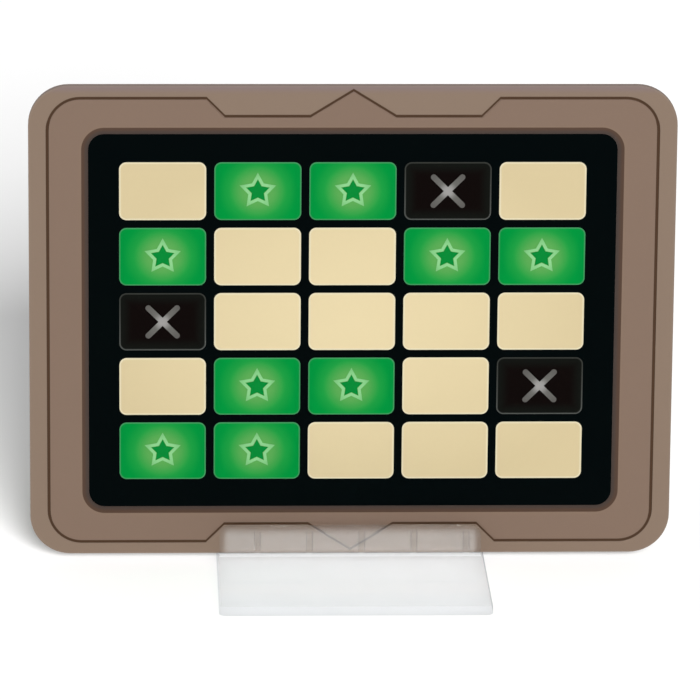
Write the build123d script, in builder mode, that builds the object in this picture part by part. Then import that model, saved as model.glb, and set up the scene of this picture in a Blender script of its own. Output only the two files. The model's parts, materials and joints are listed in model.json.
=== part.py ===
from build123d import *
from math import cos, pi, sin
import os

# A key card of a word guessing game, printed on both sides, and the clear stand that holds it up.
# X runs along the card, -Y is the front, +Z is up. The origin is under the middle of the stand.
# All sizes are in millimetres.

# Layers of the card, from the middle outward
board_thickness = 0.8
panel_thickness = 0.06
field_thickness = 0.08
mark_thickness = 0.04
mark_recess = 0.02          # how far the marks lie below the face of the liner

# Grid of fields
field_width = 11.82
field_height = 8.08
field_radius = 1.0
field_edge_bevel = 0.05
column_gap = 1.09
row_gap = 1.085

# Black panel under the fields
panel_side_margin = 4.21
panel_end_margin = 3.93
panel_radius = 2.2
panel_clearance = 0.02

# Brown liner round the panel
side_border = 8.06
end_border = 6.7
card_radius = 5.5
liner_edge_radius = 0.06
window_bevel = 0.9

# Groove that runs round the liner, and steps in to a low peak at the top and bottom
groove_width = 0.42
groove_depth = 0.08
groove_side_inset = 2.37
groove_end_inset = 1.5
groove_radius = 4.7
step_length = 39.7
step_depth = 2.5
step_angle = 45.0
peak_length = 11.8
peak_height = 3.65

# Star and cross marks
star_radius = 2.6
star_waist_radius = 1.36
star_line = 0.42
star_gap = 0.05
cross_length = 6.3
cross_width = 0.8

# Clear stand
stand_width = 36.8
toe_length = 23.1           # plate in front of the lip, and behind the other one
plate_thickness = 1.2
foot_radius = 1.0
foot_edge_radius = 0.25
lip_inset = 0.4             # from the side of the plate to the end of a lip
lip_height = 4.2
lip_thickness = 1.2
lip_radius = 1.5
lip_root_radius = 0.5
lip_edge_radius = 0.3
slot_lead_in = 0.4
rib_count = 5
rib_width = 0.9
rib_pitch = 7.2
rib_shift = 1.6             # to the right of the middle, as each side is looked at
rib_drop = 0.9              # how far the ribs stop below the top of the lip
rib_height = 0.19
rib_draft = 30.0
rib_clearance = 0.06

# Which field is cream (c), green with a star (g) or black with a cross (k), from the top left
front_layout = ("cggkc", "gccgg", "kcccc", "cggck", "ggccc")
back_layout = ("ccgcg", "gkccc", "cgcgc", "ccgkg", "kgcgc")

# Sizes that follow
rows = len(front_layout)
columns = len(front_layout[0])
liner_thickness = panel_thickness + field_thickness + mark_thickness + mark_recess
card_thickness = board_thickness + 2 * liner_thickness
panel_width = columns * field_width + (columns - 1) * column_gap + 2 * panel_side_margin
panel_height = rows * field_height + (rows - 1) * row_gap + 2 * panel_end_margin
card_width = panel_width + 2 * side_border
card_height = panel_height + 2 * end_border
groove_length = card_width - 2 * groove_side_inset
groove_height = card_height - 2 * groove_end_inset
slot_width = card_thickness + 2 * (rib_height + rib_clearance)
lip_width = stand_width - 2 * lip_inset
stand_depth = slot_width + 2 * (lip_thickness + toe_length)
card_middle = plate_thickness + card_height / 2
peak_points = ((-peak_length / 2, 0), (peak_length / 2, 0), (0, peak_height))

# Each side is drawn as it is looked at, with x to the right, y up and the outward normal as z
views = {
    "front": Plane(origin=(0, 0, 0), x_dir=(1, 0, 0), z_dir=(0, -1, 0)),
    "back": Plane(origin=(0, 0, 0), x_dir=(-1, 0, 0), z_dir=(0, 1, 0)),
}
layouts = {"front": front_layout, "back": back_layout}


def card_plane(side, depth):
    """The plane of one side of the card, centred on it, at a depth from the card's middle."""
    return Plane(origin=(0, 0, card_middle), x_dir=views[side].x_dir, z_dir=views[side].z_dir).offset(depth)


def field_centre(row, column):
    x = (column - (columns - 1) / 2) * (field_width + column_gap)
    y = ((rows - 1) / 2 - row) * (field_height + row_gap)
    return (x, y)


def field_centres(side, code):
    """Centres of all the fields of one side that have this code."""
    layout = layouts[side]
    places = [(row, column) for row in range(rows) for column in range(columns)]
    return [field_centre(row, column) for row, column in places if layout[row][column] == code]


def star_points(points=5):
    """Corners of a star, tip and waist by turns, with the first tip at the top."""
    corners = []
    for index in range(2 * points):
        radius = star_waist_radius if index % 2 else star_radius
        angle = pi / 2 + index * pi / points
        corners.append((radius * cos(angle), radius * sin(angle)))
    return corners


def save(piece, name):
    piece.part.label = name
    export_step(piece.part, f"parts/{name}.step")


# One piece: a plate with two upright lips, and ribs in the slot between them that grip the card
def make_stand():
    lip_top = plate_thickness + lip_height
    with BuildPart() as stand:
        with BuildSketch(Plane.XY):
            RectangleRounded(stand_width, stand_depth, foot_radius)
        extrude(amount=plate_thickness)
        fillet(stand.faces().sort_by(Axis.Z)[-1].edges(), radius=foot_edge_radius)
        with BuildSketch(Plane.YZ) as lips:
            for direction in (-1, 1):
                with Locations((direction * (slot_width + lip_thickness) / 2, plate_thickness)):
                    Rectangle(lip_thickness, lip_height, align=(Align.CENTER, Align.MIN))
            inner_first = lips.vertices().group_by(Axis.Y)[-1].sort_by_distance((0, lip_top))
            chamfer(inner_first[:2], length=slot_lead_in)
            inner_first = lips.vertices().group_by(Axis.Y)[-1].sort_by_distance((0, lip_top))
            fillet(inner_first[-2:], radius=lip_edge_radius)
        extrude(amount=lip_width / 2, both=True)
        with BuildSketch(Plane.XZ):
            for direction, outward in ((-1, Align.MAX), (1, Align.MIN)):
                with Locations((direction * (lip_width / 2 - lip_radius), lip_top - lip_radius)):
                    Rectangle(lip_radius, lip_radius, align=(outward, Align.MIN))
                    Circle(lip_radius, mode=Mode.SUBTRACT)
        extrude(amount=stand_depth / 2, both=True, mode=Mode.SUBTRACT)
        upright = stand.faces().filter_by(Axis.Y).sort_by(Axis.Y)
        lip_backs = (upright[1], upright[-2])
        fillet([face.edges().sort_by(Axis.Z)[0] for face in lip_backs], radius=lip_root_radius)
        for view in views.values():
            with BuildSketch(view.offset(slot_width / 2)):
                for index in range(rib_count):
                    x = rib_shift + (index - (rib_count - 1) / 2) * rib_pitch
                    with Locations((x, plate_thickness - rib_height)):
                        Rectangle(rib_width, lip_height - rib_drop, align=(Align.CENTER, Align.MIN))
            extrude(amount=-rib_height, taper=rib_draft)
    save(stand, "stand")


def make_core_board():
    with BuildPart() as core_board:
        with BuildSketch(card_plane("front", -board_thickness / 2)):
            RectangleRounded(card_width, card_height, card_radius)
        extrude(amount=board_thickness)
    save(core_board, "core_board")


# Printed liner with a bevelled window, glued over the board
def make_liner(side):
    seat = card_plane(side, board_thickness / 2)
    outer = seat.offset(liner_thickness)
    with BuildPart() as liner:
        with BuildSketch(seat):
            RectangleRounded(card_width, card_height, card_radius)
        extrude(amount=liner_thickness)
        outer_face = liner.faces().sort_by(Axis(outer.origin, outer.z_dir))[-1]
        fillet(outer_face.edges(), radius=liner_edge_radius)
        with BuildSketch(seat):
            RectangleRounded(panel_width, panel_height, panel_radius)
        with BuildSketch(outer):
            RectangleRounded(
                panel_width + 2 * window_bevel,
                panel_height + 2 * window_bevel,
                panel_radius + window_bevel,
            )
        loft(mode=Mode.SUBTRACT)
        with BuildSketch(outer):
            RectangleRounded(groove_length, groove_height, groove_radius)
            for end, turn in ((1, 180), (-1, 0)):
                with Locations((0, end * (groove_height - step_depth) / 2)):
                    Trapezoid(step_length, step_depth, step_angle, rotation=turn, mode=Mode.SUBTRACT)
                with Locations((0, end * (groove_height / 2 - step_depth))):
                    Polygon(*peak_points, align=None, rotation=turn - 180)
            offset(amount=-groove_width, kind=Kind.INTERSECTION, mode=Mode.SUBTRACT)
        extrude(amount=-groove_depth, mode=Mode.SUBTRACT)
    save(liner, f"{side}_liner")


def make_panel(side):
    with BuildPart() as panel:
        with BuildSketch(card_plane(side, board_thickness / 2)):
            RectangleRounded(
                panel_width - 2 * panel_clearance,
                panel_height - 2 * panel_clearance,
                panel_radius - panel_clearance,
            )
        extrude(amount=panel_thickness)
    save(panel, f"{side}_panel")


def make_field(side, row, column):
    seat = card_plane(side, board_thickness / 2 + panel_thickness)
    with BuildPart() as field:
        with BuildSketch(seat):
            with Locations(field_centre(row, column)):
                RectangleRounded(field_width, field_height, field_radius)
        extrude(amount=field_thickness)
        outer_face = field.faces().sort_by(Axis(seat.origin, seat.z_dir))[-1]
        chamfer(outer_face.edges(), length=field_edge_bevel)
    save(field, f"{side}_field_r{row + 1}c{column + 1}")


# A star in outline, with a smaller solid star inside it, on each green field of one side
def make_star_marks(side):
    seat = card_plane(side, board_thickness / 2 + panel_thickness + field_thickness)
    with BuildPart() as stars:
        with BuildSketch(seat):
            with Locations(*field_centres(side, "g")):
                Polygon(*star_points(), align=None)
            offset(amount=-star_line, kind=Kind.INTERSECTION, mode=Mode.SUBTRACT)
        extrude(amount=mark_thickness)
        with BuildSketch(seat):
            with Locations(*field_centres(side, "g")):
                Polygon(*star_points(), align=None)
            offset(amount=-star_line - star_gap, kind=Kind.INTERSECTION, mode=Mode.REPLACE)
        extrude(amount=mark_thickness)
    save(stars, f"{side}_star_marks")


# A cross with round ends on each black field of one side
def make_cross_marks(side):
    with BuildPart() as crosses:
        with BuildSketch(card_plane(side, board_thickness / 2 + panel_thickness + field_thickness)):
            with Locations(*field_centres(side, "k")):
                SlotOverall(cross_length, cross_width, rotation=45)
                SlotOverall(cross_length, cross_width, rotation=-45)
        extrude(amount=mark_thickness)
    save(crosses, f"{side}_cross_marks")


os.makedirs("parts", exist_ok=True)
make_stand()
make_core_board()
for side in views:
    make_liner(side)
    make_panel(side)
    make_star_marks(side)
    make_cross_marks(side)
    for row in range(rows):
        for column in range(columns):
            make_field(side, row, column)
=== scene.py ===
import json
import math

import bmesh
import bpy
from mathutils import Matrix, Vector


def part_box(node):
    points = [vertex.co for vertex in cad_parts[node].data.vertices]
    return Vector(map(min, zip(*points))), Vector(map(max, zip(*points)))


# A printed key card of a word guessing game, upright in the slot of a clear one-piece stand.
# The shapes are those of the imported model. This file gives them their print, board and plastic,
# and sets them on a pale floor in soft light. Lengths on the object and the camera's place are in
# millimetres, and those of the floor and the lamps are in metres.

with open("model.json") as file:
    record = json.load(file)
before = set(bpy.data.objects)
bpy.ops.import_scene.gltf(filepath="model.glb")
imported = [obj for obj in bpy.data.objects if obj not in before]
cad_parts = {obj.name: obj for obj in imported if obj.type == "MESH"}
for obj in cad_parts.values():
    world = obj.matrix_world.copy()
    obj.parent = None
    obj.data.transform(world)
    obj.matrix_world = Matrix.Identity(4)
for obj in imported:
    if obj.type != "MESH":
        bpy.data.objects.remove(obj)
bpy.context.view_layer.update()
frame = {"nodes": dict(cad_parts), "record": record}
nodes = frame["nodes"]

MM = 0.001
origin = (0.0, 0.0, 0.0)


def middle_of(node):
    low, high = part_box(node)
    return (low + high) / (2 * MM)


def size_of(node):
    low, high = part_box(node)
    return (high - low) / MM


# Sizes of the card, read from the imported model
card_middle = middle_of("core_board")
card_size = size_of("core_board")
panel_size = size_of("front_panel")
field_size = size_of("front_field_r1c1")
column_pitch = abs(middle_of("front_field_r1c2").x - middle_of("front_field_r1c1").x)
row_pitch = abs(middle_of("front_field_r1c1").z - middle_of("front_field_r2c1").z)
card_face = abs(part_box("front_liner")[0].y) / MM

# Sizes of what is printed on it
card_radius = 5.5
panel_radius = 2.2
panel_clearance = 0.02
window_bevel = 0.9
field_radius = 1.0
line_end = 31.29            # middle of the border line, above and below the card's middle
line_side = 41.42           # and to the left and right of it
line_radius = 4.49
line_run_on = 2.0           # how far its sides run on past its ends, out of sight of the corners
step_end = 28.79            # the same line where it steps in, near the middle of a long side
step_foot = 17.38
peak_tip = 32.4
peak_slope = 0.62
star_radius = 2.6
star_waist = 1.36
star_line = 0.42
star_gap = 0.05

# Texture of the laminated print
fibre_size = 0.35
cloud_size = 9.0
film_relief = 0.004
fibre_roughness = 0.06
cloud_roughness = 0.12

# Places on the clear stand
stand_size = size_of("stand")
foot_radius = 1.0
plate_top = 1.2
rib_pitch = 7.2
rib_shift = 1.6
painted_rib_oval_height = 3.1
lip_inset = 0.4
lip_radius = 1.5
slot_half = 0.85

# How clear the plastic is in each place, from 0 where it is milky to 1
lip_edge_clear = 0.85
slot_clear = 0.28
rib_clear = 0.26
root_clear = 0.75
rim_clear = 0.8

# Painted shade: how much darker the plastic is at a rib and towards the ends of a lip
painted_rib_darkening = 0.1
painted_lip_end_darkening = 0.055


def ink(red, green, blue):
    """A colour given as it is seen on a screen, from 0 to 255, in the linear values of a shader."""
    linear = []
    for value in (red, green, blue):
        share = value / 255
        linear.append(share / 12.92 if share <= 0.04045 else ((share + 0.055) / 1.055) ** 2.4)
    return (*linear, 1.0)


# Inks of the liner
inner_brown = ink(137, 115, 100)
outer_brown = ink(143, 123, 107)
window_brown = ink(141, 119, 101)
# Painted sheen along the top edge of the face
painted_top_sheen_brown = ink(139, 122, 121)
worn_brown = ink(150, 134, 121)
cut_brown = ink(142, 128, 118)
line_brown = ink(80, 58, 42)
slope_foot = ink(76, 64, 58)
slope_top = ink(88, 67, 55)

# Inks of the panel and the fields
panel_black = ink(1, 6, 8)
panel_shine = ink(3, 9, 9)
middle_cream = ink(237, 219, 175)
outer_cream = ink(221, 203, 160)
rim_cream = ink(240, 231, 200)
plain_green = ink(0, 150, 62)
lit_green = ink(36, 162, 70)
glow_green = ink(96, 172, 88)
side_green = ink(2, 141, 62)
rim_green = ink(84, 158, 110)
middle_black = ink(15, 9, 8)
outer_black = ink(19, 21, 18)
low_rim_grey = ink(88, 91, 88)
high_rim_grey = ink(58, 60, 56)

# Inks of the marks
star_green = ink(0, 138, 54)
waist_green = ink(146, 214, 146)
tip_green = ink(128, 200, 130)
middle_grey = ink(160, 158, 156)
arm_grey = ink(108, 107, 103)
end_grey = ink(96, 94, 91)

# Colours of the board, the plastic and the floor
dark_layer = ink(122, 106, 99)
pale_layer = ink(146, 131, 124)
lip_tint = ink(252, 251, 249)
plate_tint = ink(221, 223, 226)
edge_tint = ink(203, 206, 209)
slot_tint = ink(186, 190, 194)
clear_tint = ink(249, 249, 249)
root_tint = ink(246, 247, 248)
rim_tint = ink(217, 218, 220)
dark_paper = ink(243, 243, 243)
pale_paper = ink(246, 246, 246)
white = (1.0, 1.0, 1.0, 1.0)


class Value:
    """A socket of a node. Arithmetic on it adds Math nodes."""

    def __init__(self, owner, socket):
        self.owner = owner
        self.socket = socket

    def math(self, operation, *terms):
        return self.owner.math(operation, self, *terms)

    def __add__(self, other):
        return self.math("ADD", other)

    def __radd__(self, other):
        return self.owner.math("ADD", other, self)

    def __sub__(self, other):
        return self.math("SUBTRACT", other)

    def __rsub__(self, other):
        return self.owner.math("SUBTRACT", other, self)

    def __mul__(self, other):
        return self.math("MULTIPLY", other)

    def __rmul__(self, other):
        return self.owner.math("MULTIPLY", other, self)

    def __truediv__(self, other):
        return self.math("DIVIDE", other)

    def __pow__(self, other):
        return self.math("POWER", other)

    def __abs__(self):
        return self.math("ABSOLUTE")

    def at_least(self, other):
        return self.math("MAXIMUM", other)

    def at_most(self, other):
        return self.math("MINIMUM", other)

    def wrapped(self, half):
        """The value brought into the range from -half to half by whole steps of twice that."""
        return self.math("WRAP", half, -half)


class NodeSet:
    """The nodes of a material or of the surroundings."""

    def __init__(self, owner):
        owner.use_nodes = True
        self.tree = owner.node_tree
        self.tree.nodes.clear()

    def node(self, kind, settings=None, inputs=None, output=0):
        """Adds a node and gives one of its outputs, or the node itself where output is None."""
        made = self.tree.nodes.new(kind)
        for name, value in (settings or {}).items():
            setattr(made, name, value)
        for name, value in (inputs or {}).items():
            key = name if isinstance(name, int) else name.replace("_", " ")
            self.feed(made.inputs[key], value)
        return made if output is None else Value(self, made.outputs[output])

    def feed(self, socket, value):
        if isinstance(value, Value):
            self.tree.links.new(socket, value.socket)
        else:
            socket.default_value = value

    def math(self, operation, *terms):
        return self.node("ShaderNodeMath", {"operation": operation}, dict(enumerate(terms)))


class Finish(NodeSet):
    """The nodes of one material, round a Principled shader."""

    def __init__(self, name, **constants):
        self.material = bpy.data.materials.new(name)
        super().__init__(self.material)
        self.shader = self.node("ShaderNodeBsdfPrincipled", inputs=constants)
        surface = {"Surface": self.shader}
        self.output = self.node("ShaderNodeOutputMaterial", inputs=surface, output=None)

    def show(self, name, value):
        """Feeds one socket of the Principled shader."""
        self.feed(self.shader.socket.node.inputs[name], value)

    def place(self, centre=origin):
        """A point of the piece, in millimetres from a centre."""
        here = self.node("ShaderNodeTexCoord", output="Object")
        scaled = self.node("ShaderNodeVectorMath", {"operation": "SCALE"}, {0: here, 3: 1 / MM})
        terms = {0: scaled, 1: tuple(centre)}
        return self.node("ShaderNodeVectorMath", {"operation": "SUBTRACT"}, terms)

    def coordinates(self, point):
        """The x, y and z of a point."""
        parts = self.node("ShaderNodeSeparateXYZ", inputs={0: point}, output=None)
        return [Value(self, socket) for socket in parts.outputs]

    def rise(self, value, low, high):
        """A smooth step from 0 at low to 1 at high, either way round."""
        return self.node(
            "ShaderNodeMapRange",
            {"interpolation_type": "SMOOTHSTEP"},
            {"Value": value, "From Min": low, "From Max": high},
        )

    def ramp(self, value, low, high):
        """A straight change from 0 at low to 1 at high."""
        return self.node(
            "ShaderNodeMapRange",
            inputs={"Value": value, "From Min": low, "From Max": high},
        )

    def mix(self, share, first, second):
        """The first colour where share is 0, and the second where it is 1."""
        return self.node("ShaderNodeMix", {"data_type": "RGBA"}, {0: share, 6: first, 7: second}, 2)

    def shade(self, colour, factor):
        return self.node("ShaderNodeVectorMath", {"operation": "SCALE"}, {0: colour, 3: factor})

    def grain(self, point, size, detail=2.0, roughness=0.5, stretch=None):
        """Noise from about 0 to 1, with features of a size in millimetres."""
        if stretch:
            point = self.node("ShaderNodeMapping", inputs={"Vector": point, "Scale": stretch})
        return self.node(
            "ShaderNodeTexNoise",
            inputs={"Vector": point, "Scale": 1 / size, "Detail": detail, "Roughness": roughness},
        )

    def bump(self, height, depth):
        """Relief of a depth in millimetres."""
        normal = self.node("ShaderNodeBump", inputs={"Height": height, "Distance": depth * MM})
        self.show("Normal", normal)

    def edge_distance(self, across, up, half_width, half_height, radius):
        """Distance to the edge of a rectangle with round corners, below 0 inside it."""
        past_side = across - (half_width - radius)
        past_end = up - (half_height - radius)
        side_part = past_side.at_least(0)
        end_part = past_end.at_least(0)
        outside = (side_part * side_part + end_part * end_part) ** 0.5
        return outside + past_side.at_least(past_end).at_most(0) - radius


class Print(Finish):
    """Satin laminated print, with the fine unevenness of ink on board."""

    def __init__(self, name, gloss=0.12, roughness=0.5):
        super().__init__(name, Specular_IOR_Level=gloss)
        self.roughness = roughness
        self.point = self.place(card_middle)
        self.x, self.y, self.z = self.coordinates(self.point)

    def lay(self, colour, unevenness=0.03):
        """Puts the colour on, and the film's own texture over it."""
        fibre = self.grain(self.point, fibre_size, detail=3.0, roughness=0.6)
        cloud = self.grain(self.point, cloud_size)
        uneven = 1 + (fibre - 0.5) * unevenness + (cloud - 0.5) * unevenness
        self.show("Base Color", self.shade(colour, uneven))
        rougher = (cloud - 0.5) * cloud_roughness
        self.show("Roughness", self.roughness + rougher + (fibre - 0.5) * fibre_roughness)
        self.bump(fibre, film_relief)

    def in_field(self):
        """How far a point is from the middle of its own field, along the card and up."""
        return self.x.wrapped(column_pitch / 2), self.z.wrapped(row_pitch / 2)

    def field_edge(self, across, up):
        """How far such a point is from the field's edge, below 0 inside it."""
        half_width, half_height = field_size.x / 2, field_size.z / 2
        return self.edge_distance(abs(across), abs(up), half_width, half_height, field_radius)


def beyond_line(liner, across, up):
    """How far a point lies outside the border line, below 0 inside it."""
    step = (across - step_foot + step_end).at_least(step_end).at_most(line_end)
    peak = peak_tip - across * peak_slope
    past_step = up - step.at_least(peak)
    past_side = liner.edge_distance(across, up, line_side, line_end + line_run_on, line_radius)
    past_corner = liner.edge_distance(across, up, line_side, line_end, line_radius)
    # The round corner counts only from corner_start on, and elsewhere it reads as inside the line
    corner_start = line_side - line_radius
    in_corner = liner.rise(across, corner_start - 0.1, corner_start)
    return past_step.at_least(past_side).at_least(past_corner * in_corner - (1 - in_corner))


def make_brown_liner():
    """Two browns that meet at the border line, a dark line and a dark slope round the window."""
    liner = Print("brown_liner_print")
    across, up, depth = abs(liner.x), abs(liner.z), abs(liner.y)
    card_edge = liner.edge_distance(across, up, card_size.x / 2, card_size.z / 2, card_radius)
    window_edge = liner.edge_distance(
        across,
        up,
        panel_size.x / 2 + panel_clearance + window_bevel,
        panel_size.z / 2 + panel_clearance + window_bevel,
        panel_radius + window_bevel,
    )
    beyond = beyond_line(liner, across, up)

    outer = liner.rise(beyond, -0.05, 0.05)
    brown = liner.mix(outer, inner_brown, outer_brown)
    near_window = liner.rise(window_edge, 0.5, 0.0)
    brown = liner.mix(near_window * 0.5, brown, window_brown)
    # Painted sheen: a greyer brown over the top 1.3 mm of the face, as if that edge caught the
    # light
    painted_top_sheen = liner.rise(liner.z, card_size.z / 2 - 1.3, card_size.z / 2)
    brown = liner.mix(painted_top_sheen * 0.9, brown, painted_top_sheen_brown)
    worn = liner.rise(card_edge, -0.35, -0.03)
    brown = liner.mix(worn * 0.45, brown, worn_brown)

    in_groove = liner.rise(depth, card_face - 0.015, card_face - 0.05)
    off_window = liner.rise(window_edge, 0.0, 0.1)
    off_rim = liner.rise(card_edge, -0.1, -0.3)
    at_ends = liner.rise(up, step_end - 1, step_end - 0.5)
    beside_line = liner.rise(abs(beyond), 0.13, 0.22)
    line = in_groove * off_window * off_rim * (1 - at_ends * beside_line)
    brown = liner.mix(line, brown, line_brown)

    up_slope = liner.rise(window_edge, -0.7, -0.2)
    on_slope = liner.rise(window_edge, 0.04, -0.04)
    brown = liner.mix(on_slope, brown, liner.mix(up_slope, slope_foot, slope_top))

    at_edge = liner.rise(card_edge, -0.05, -0.01)
    below_face = liner.rise(depth, card_face - 0.03, card_face - 0.08)
    liner.lay(liner.mix(at_edge * below_face, brown, cut_brown))
    return liner


def make_black_panel():
    """Near black, with a faint cloudiness."""
    panel = Print("black_panel_print", gloss=0.015, roughness=0.42)
    shine = panel.grain(panel.point, size=14.0)
    panel.lay(panel.mix(shine, panel_black, panel_shine), unevenness=0.1)
    return panel


def make_cream_field():
    """Cream that is brightest in the middle of the card, with a paler rim."""
    field = Print("cream_field_print", gloss=0.1)
    side, end = field.x / 32, field.z / 24
    spread = (side * side + end * end) ** 0.75
    outward = field.ramp(spread, 0.0, 1.1)
    cream = field.mix(outward, middle_cream, outer_cream)
    rim = field.rise(field.field_edge(*field.in_field()), -0.34, -0.1)
    field.lay(field.mix(rim * 0.75, cream, rim_cream), unevenness=0.025)
    return field


def make_green_field():
    """Green with a yellower glow round the star and a grey-green rim."""
    field = Print("green_field_print", gloss=0.02, roughness=0.46)
    across, up = field.in_field()
    from_star = (across * across * 1.05 + up * up * 1.15) ** 0.5
    near_star = field.rise(from_star, 5.9, 3.0)
    green = field.mix(near_star, plain_green, lit_green)
    glow = field.rise(from_star, 4.2, 1.6)
    green = field.mix(glow, green, glow_green)
    at_sides = field.rise(abs(across), 4.4, 5.9)
    green = field.mix(at_sides * 0.5, green, side_green)
    rim = field.rise(field.field_edge(across, up), -0.24, -0.06)
    field.lay(field.mix(rim * 0.75, green, rim_green))
    return field


def make_black_field():
    """Warm black, a little greyer to its edges, with a thin grey rim."""
    field = Print("black_field_print", gloss=0.015, roughness=0.42)
    across, up = field.in_field()
    edge = field.field_edge(across, up)
    outward = field.rise(edge, -1.9, -0.3)
    black = field.mix(outward, middle_black, outer_black)
    upward = field.ramp(up, -4.0, 4.0)
    rim = field.rise(edge, -0.26, -0.08)
    rim_grey = field.mix(upward, low_rim_grey, high_rim_grey)
    field.lay(field.mix(rim, black, rim_grey), unevenness=0.06)
    return field


def make_star_print():
    """Pale green for the outline of a star and deep green for the star within."""
    star = Print("star_print", gloss=0.06)
    across, up = star.in_field()
    radius = (across * across + up * up) ** 0.5

    # A point folded into half of one arm, and its distance in from the straight side of that arm
    half_arm = math.pi / 5
    turn = abs(star.math("ARCTAN2", across, up).wrapped(half_arm))
    side = radius * turn.math("SINE")
    out = radius * turn.math("COSINE")
    waist_side = star_waist * math.sin(half_arm)
    waist_out = star_waist * math.cos(half_arm)
    length = math.hypot(waist_side, waist_out - star_radius)
    side_share = (star_radius - waist_out) / length
    out_share = waist_side / length
    inward = (star_radius - out) * out_share - side * side_share

    outline = star.rise(inward, star_line + star_gap * 0.7, star_line + star_gap * 0.3)
    outward = star.rise(radius, 1.2, 2.6)
    star.lay(star.mix(outline, star_green, star.mix(outward, waist_green, tip_green)))
    return star


def make_cross_print():
    """Grey, bright where the arms cross and darker to their ends."""
    cross = Print("cross_print", gloss=0.06)
    across, up = cross.in_field()
    radius = (across * across + up * up) ** 0.5
    along_arm = cross.rise(radius, 0.3, 1.5)
    grey = cross.mix(along_arm, middle_grey, arm_grey)
    to_end = cross.rise(radius, 1.4, 3.1)
    cross.lay(cross.mix(to_end, grey, end_grey), unevenness=0.05)
    return cross


def make_board():
    """Cut edge of grey-brown paperboard, pressed in layers."""
    board = Finish("board_edge", Specular_IOR_Level=0.15)
    point = board.place(card_middle)
    layers = board.grain(point, size=0.12, stretch=(0.04, 1.0, 0.04))
    fibre = board.grain(point, size=0.5, detail=4.0, roughness=0.7)
    colour = board.mix(layers, dark_layer, pale_layer)
    board.show("Base Color", board.shade(colour, 0.9 + fibre * 0.2))
    board.show("Roughness", 0.75 + (fibre - 0.5) * 0.2)
    board.bump(layers + fibre * 0.6, depth=0.02)
    return board


def make_clear_plastic():
    """Clear moulded plastic, a little milky, that lets the light through to what is behind it."""
    plastic = Finish("clear_plastic", Transmission_Weight=0.77, IOR=1.25, Specular_IOR_Level=0.35)
    point = plastic.place()
    x, y, z = plastic.coordinates(point)
    across, back = abs(x), abs(y)
    half_width, half_depth = stand_size.x / 2, stand_size.y / 2
    foot_edge = plastic.edge_distance(across, back, half_width, half_depth, foot_radius)
    lip_edge = plastic.edge_distance(across, z, half_width - lip_inset, stand_size.z, lip_radius)
    over_plate = plastic.rise(z, plate_top, plate_top + 0.02)
    in_slot = plastic.rise(back, slot_half + 0.03, slot_half + 0.01)
    on_rib = plastic.rise(back, slot_half - 0.01, slot_half - 0.03)

    # A soft oval of painted shade at each rib. The ribs lie a little to the right, as each side is
    # looked at.
    ribs_middle = y.math("SIGN") * -rib_shift
    beside = (x - ribs_middle).wrapped(rib_pitch / 2)
    above = z - painted_rib_oval_height
    painted_rib_oval = plastic.rise((beside * beside * 2 + above * above) ** 0.5, 1.5, 0.2)
    # Painted shade towards each end of a lip, which leaves its middle brighter
    painted_lip_end_mask = plastic.rise(across, 10.0, 17.0) * over_plate

    at_edge = plastic.rise(foot_edge, -0.3, -0.02)
    plate = plastic.mix(at_edge, plate_tint, edge_tint)
    plate = plastic.mix(in_slot, plate, slot_tint)
    in_plate = plastic.rise(z, plate_top + 0.2, plate_top)
    tint = plastic.mix(in_plate, lip_tint, plate)
    # The painted shade at the ribs and at the lip ends darkens the tint
    tint = plastic.shade(tint, 1 - painted_rib_oval * painted_rib_darkening - painted_lip_end_mask * painted_lip_end_darkening)
    wave = plastic.grain(point, size=11.0, detail=1.0, roughness=0.4)
    scuff = plastic.grain(point, size=0.8, detail=4.0, roughness=0.65)
    plastic.show("Base Color", plastic.shade(tint, 0.985 + wave * 0.03))
    plastic.show("Roughness", 0.03 + scuff * 0.05)
    plastic.bump(wave, depth=0.02)

    thin = plastic.rise(lip_edge, -1.45, -0.2) * lip_edge_clear
    clearer = thin.at_least(in_slot * slot_clear + on_rib * rib_clear) * over_plate
    at_root = plastic.rise(z, plate_top + 0.6, plate_top + 0.4) * over_plate
    at_rim = plastic.rise(foot_edge, -0.28, -0.2) * (1 - over_plate)
    for_lamps = plastic.node("ShaderNodeLightPath", output="Is Shadow Ray")
    clear, root, rim = (
        plastic.node("ShaderNodeBsdfTransparent", inputs={"Color": colour})
        for colour in (clear_tint, root_tint, rim_tint)
    )
    shown = plastic.shader
    for share, layer in (
        (clearer, clear),
        (at_root * root_clear, root),
        (at_rim * rim_clear, rim),
        (for_lamps, clear),
    ):
        shown = plastic.node("ShaderNodeMixShader", inputs={0: share, 1: shown, 2: layer})
    plastic.feed(plastic.output.inputs["Surface"], shown)
    return plastic


finishes = {
    "clear_plastic": make_clear_plastic(),
    "board": make_board(),
    "brown_liner": make_brown_liner(),
    "black_panel": make_black_panel(),
    "cream_field": make_cream_field(),
    "green_field": make_green_field(),
    "black_field": make_black_field(),
    "star_print": make_star_print(),
    "cross_print": make_cross_print(),
}
for subpart in frame["record"]["subparts"]:
    piece = nodes[subpart["node"]]
    piece.data.materials.clear()
    piece.data.materials.append(finishes[subpart["material_slot"]].material)


def make_floor(half_length, height):
    """A wide pale floor, a hair above the underside of the foot so that the two don't coincide."""
    shape = bmesh.new()
    bmesh.ops.create_grid(shape, x_segments=1, y_segments=1, size=half_length)
    bmesh.ops.translate(shape, verts=shape.verts, vec=(0.0, 0.0, height))
    mesh = bpy.data.meshes.new("floor")
    shape.to_mesh(mesh)
    shape.free()
    floor = bpy.data.objects.new("floor", mesh)
    bpy.context.scene.collection.objects.link(floor)
    paper = Finish("pale_floor", Roughness=0.9, Specular_IOR_Level=0.0)
    tone = paper.grain(paper.place(), size=60.0)
    paper.show("Base Color", paper.mix(tone, dark_paper, pale_paper))
    mesh.materials.append(paper.material)
    return floor


def light_group(name, pieces):
    """The pieces that a lamp shines on."""
    group = bpy.data.collections.new(name)
    for piece in pieces:
        group.objects.link(piece)
    return group


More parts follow.
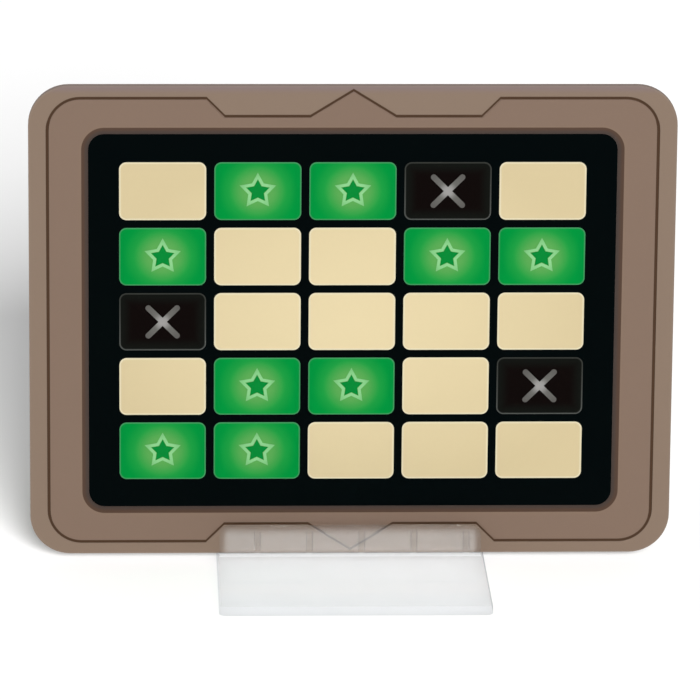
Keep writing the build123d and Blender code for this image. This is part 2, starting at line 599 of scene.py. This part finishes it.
def place_lamp(data, place, aim, lit):
    """A lamp that shines on one group of pieces and leaves no bright spot on them."""
    lamp = bpy.data.objects.new(data.name, data)
    lamp.visible_glossy = False
    lamp.location = place
    lamp.rotation_euler = (Vector(aim) - Vector(place)).to_track_quat("-Z", "Y").to_euler()
    lamp.light_linking.receiver_collection = lit
    bpy.context.scene.collection.objects.link(lamp)


def make_softbox(name, place, aim, width, power, lit):
    """A round soft lamp, with its places and width in metres and its power in watts."""
    data = bpy.data.lights.new(name, "AREA")
    data.shape = "DISK"
    data.size = width
    data.energy = power
    place_lamp(data, place, aim, lit)


def make_floor_light(place, spread, power, lit):
    """A low even light, spread over some degrees, that whitens the floor but for the shadow."""
    data = bpy.data.lights.new("floor_light", "SUN")
    data.angle = math.radians(spread)
    data.energy = power
    place_lamp(data, place, origin, lit)


def make_surroundings(glow):
    """An even glow all round, seen as white."""
    world = bpy.data.worlds.new("studio")
    sky = NodeSet(world)
    seen = sky.node("ShaderNodeLightPath", output="Is Camera Ray")
    strength = glow + seen * (1 - glow)
    studio = sky.node("ShaderNodeBackground", inputs={"Color": white, "Strength": strength})
    sky.node("ShaderNodeOutputWorld", inputs={"Surface": studio}, output=None)
    bpy.context.scene.world = world


def make_camera(place, aim, roll, focal_pixels, frame_pixels=700, sensor_width=36.0):
    """A long lens that looks from one place to another in millimetres, turned by roll radians."""
    place = Vector(place) * MM
    forward = (Vector(aim) * MM - place).normalized()
    right = forward.cross(Vector((0, 0, 1))).normalized()
    upward = right.cross(forward)
    turned_right = right * math.cos(roll) + upward * math.sin(roll)
    turned_up = upward * math.cos(roll) - right * math.sin(roll)
    data = bpy.data.cameras.new("camera")
    data.sensor_width = sensor_width
    data.lens = focal_pixels * sensor_width / frame_pixels
    data.clip_start = 0.01
    data.clip_end = 50.0
    camera = bpy.data.objects.new("camera", data)
    turn = Matrix((turned_right, turned_up, -forward)).transposed()
    camera.matrix_world = Matrix.Translation(place) @ turn.to_4x4()
    bpy.context.scene.collection.objects.link(camera)
    bpy.context.scene.camera = camera


floor = make_floor(half_length=3.0, height=0.02 * MM)
floor_alone = light_group("floor_alone", [floor])
card_and_stand = light_group("card_and_stand", nodes.values())
near_middle = (0.0, 0.0, 0.03)
make_surroundings(glow=0.39)
make_softbox("key", (0.30, -1.0, 0.45), near_middle, width=0.6, power=3.8, lit=card_and_stand)
make_softbox("top", (0.0, -0.1, 1.1), origin, width=0.9, power=4.0, lit=card_and_stand)
make_softbox("back", (-0.3, 0.9, 0.5), near_middle, width=0.6, power=3.0, lit=card_and_stand)
make_floor_light((0.132, -0.945, 0.305), spread=20.0, power=8.1, lit=floor_alone)
make_camera((-31.0, -802.3, 251.6), (-0.20, 0.0, 30.02), roll=0.0084, focal_pixels=6089.0)
bpy.context.scene.view_settings.view_transform = "Standard"
